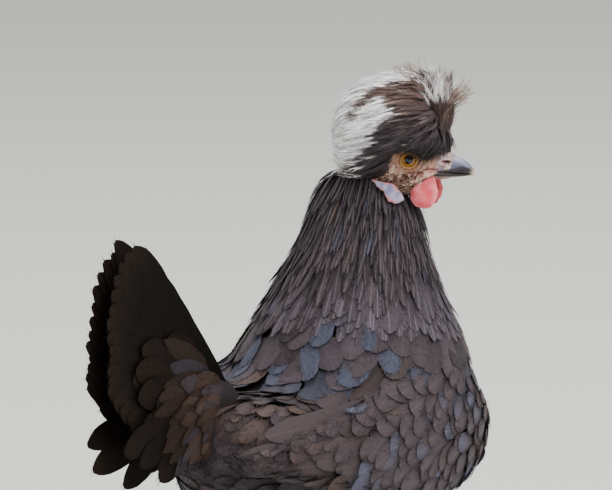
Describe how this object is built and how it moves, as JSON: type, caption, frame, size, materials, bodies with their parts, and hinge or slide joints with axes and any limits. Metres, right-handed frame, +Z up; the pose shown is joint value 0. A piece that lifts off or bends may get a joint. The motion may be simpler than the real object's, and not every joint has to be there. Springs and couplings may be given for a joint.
{
  "type": "polish crested chicken, still life-size model",
  "caption": "Standing crested hen, life size, head turned to the right, with crest, wattles, folded wings and tail.",
  "frame": {"origin": "on the floor under the middle of the bird's box", "axes": "+X ahead along the body, +Y to the bird's left, +Z up"},
  "size_m": [0.364, 0.1802, 0.4318],
  "materials": {
    "body_feathers": "soft matt feather",
    "hackle_feathers": "satin feather",
    "wing_feathers": "satin feather",
    "tail_feathers": "satin feather",
    "crest_feathers": "soft matt feather",
    "bare_skin": "wrinkled skin",
    "wattle_skin": "moist skin",
    "ear_lobe_skin": "soft skin",
    "bill_horn": "polished horn",
    "claw_horn": "horn",
    "eye": "wet gloss",
    "leg_scales": "scaled skin"
  },
  "bodies": {
    "root": {"bill_lower": "bill_horn", "bill_upper": "bill_horn", "claw_left_hind": "claw_horn", "claw_left_inner": "claw_horn", "claw_left_middle": "claw_horn", "claw_left_outer": "claw_horn", "claw_right_hind": "claw_horn", "claw_right_inner": "claw_horn", "claw_right_middle": "claw_horn", "claw_right_outer": "claw_horn", "crest": "crest_feathers", "ear_lobe_left": "ear_lobe_skin", "ear_lobe_right": "ear_lobe_skin", "eye_left": "eye", "eye_right": "eye", "head": "bare_skin", "neck": "hackle_feathers", "shank_left": "leg_scales", "shank_right": "leg_scales", "tail_left": "tail_feathers", "tail_right": "tail_feathers", "thigh_left": "body_feathers", "thigh_right": "body_feathers", "toe_left_hind": "leg_scales", "toe_left_inner": "leg_scales", "toe_left_middle": "leg_scales", "toe_left_outer": "leg_scales", "toe_right_hind": "leg_scales", "toe_right_inner": "leg_scales", "toe_right_middle": "leg_scales", "toe_right_outer": "leg_scales", "torso": "body_feathers", "wattle_left": "wattle_skin", "wattle_right": "wattle_skin", "wing_left": "wing_feathers", "wing_right": "wing_feathers"}
  },
  "joints": []
}
